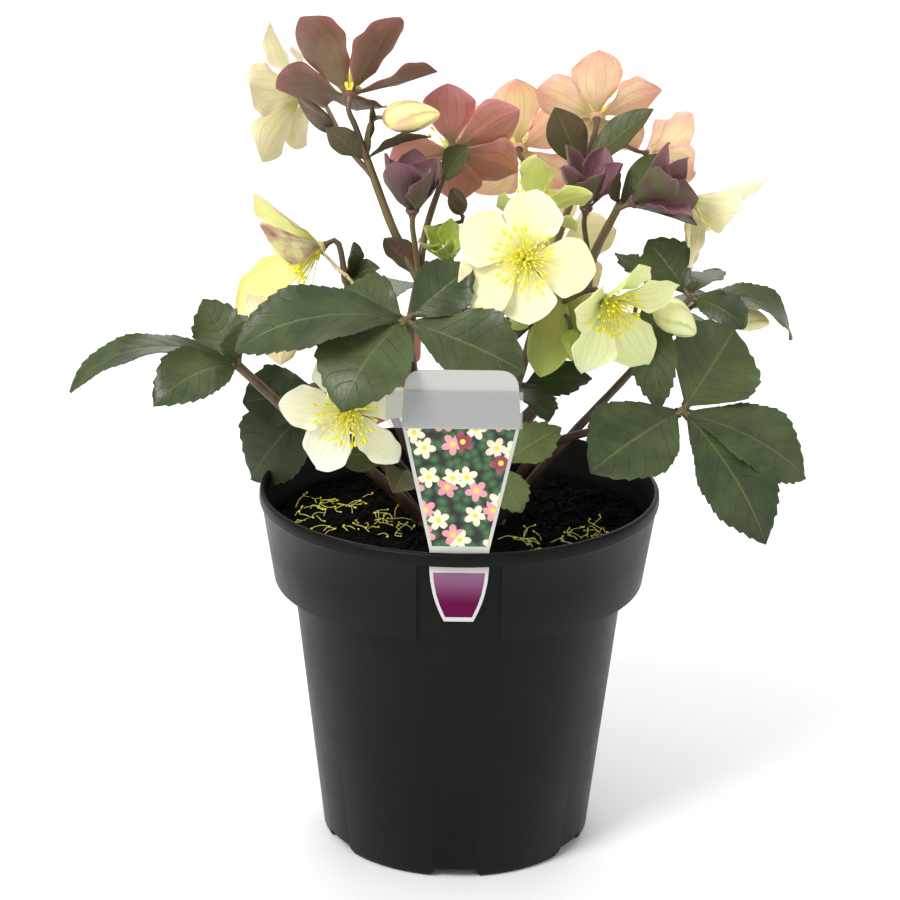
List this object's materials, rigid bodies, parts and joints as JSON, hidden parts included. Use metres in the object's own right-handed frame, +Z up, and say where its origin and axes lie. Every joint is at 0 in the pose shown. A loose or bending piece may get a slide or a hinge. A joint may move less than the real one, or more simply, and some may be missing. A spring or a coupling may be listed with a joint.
{
  "type": "potted flowering plant",
  "caption": "Flowering hellebore in a round plastic nursery pot, with open five-sepalled blooms, buds, lobed leaves and a plant label held in the pot's rim.",
  "frame": {"origin": "centre of the flat boss under the pot, in the plane that the pot stands on", "axes": "+Z up, -Y towards the side of the pot that holds the label, +X to the right when the label is seen from the front"},
  "size_m": [0.3419, 0.2537, 0.3987],
  "materials": {
    "pot_plastic": "moulded plastic, charcoal, with a soft sheen",
    "potting_mix": "damp peat and bark potting mix, crumbly",
    "label_plastic": "printed white plastic sheet",
    "clear_film": "translucent grey film",
    "stem": "smooth green-brown stems",
    "cream_sepal": "soft satin sepals, cream with a yellow-green middle",
    "rose_sepal": "soft satin sepals, dusky rose",
    "peach_sepal": "soft satin sepals, peach",
    "bronze_sepal": "soft satin sepals, brown-pink outside",
    "blush_sepal": "soft satin sepals, cream flushed brown-pink",
    "green_sepal": "soft satin sepals, lime green",
    "white_sepal": "soft satin sepals, white-cream",
    "plum_sepal": "soft satin sepals, dusky purple",
    "lime_sepal": "soft satin sepals, pale lime",
    "stamens": "fine yellow stamens",
    "bud": "closed buds, cream to green",
    "leaf": "leathery, dark grey-green, with a soft sheen",
    "shaded_leaf": "leathery, dark green",
    "young_leaf": "matt, pale grey-green"
  },
  "bodies": {
    "root": {"pot": "pot_plastic", "soil": "potting_mix", "label": "label_plastic", "label_strip": "clear_film", "stems": "stem", "bloom_back_cream": "cream_sepal", "bloom_back_rose": "rose_sepal", "bloom_blush": "peach_sepal", "bloom_crown": "bronze_sepal", "bloom_far_left": "cream_sepal", "bloom_far_right": "cream_sepal", "bloom_front": "cream_sepal", "bloom_left": "blush_sepal", "bloom_lime": "lime_sepal", "bloom_low_left": "white_sepal", "bloom_nodding": "green_sepal", "bloom_peach_back": "peach_sepal", "bloom_peach_side": "peach_sepal", "bloom_plum_left": "plum_sepal", "bloom_plum_mid": "plum_sepal", "bloom_plum_right": "plum_sepal", "bloom_right": "lime_sepal", "bloom_rose": "rose_sepal", "bloom_small_green": "green_sepal", "bloom_tucked": "cream_sepal", "heart_back_cream": "stamens", "heart_back_rose": "stamens", "heart_blush": "stamens", "heart_crown": "stamens", "heart_far_left": "stamens", "heart_far_right": "stamens", "heart_front": "stamens", "heart_left": "stamens", "heart_lime": "stamens", "heart_low_left": "stamens", "heart_nodding": "stamens", "heart_peach_back": "stamens", "heart_peach_side": "stamens", "heart_right": "stamens", "heart_rose": "stamens", "heart_tucked": "stamens", "bud_dark": "bud", "bud_far_right": "bud", "bud_green": "bud", "bud_peach": "bud", "bud_right": "bud", "bud_side": "bud", "leaf_back_left": "leaf", "leaf_back_right": "leaf", "leaf_behind_left": "shaded_leaf", "leaf_front": "leaf", "leaf_hanging": "leaf", "leaf_left": "leaf", "leaf_low_middle": "shaded_leaf", "leaf_pale": "young_leaf", "leaf_right": "leaf", "leaf_right_top": "leaf"}
  },
  "joints": []
}
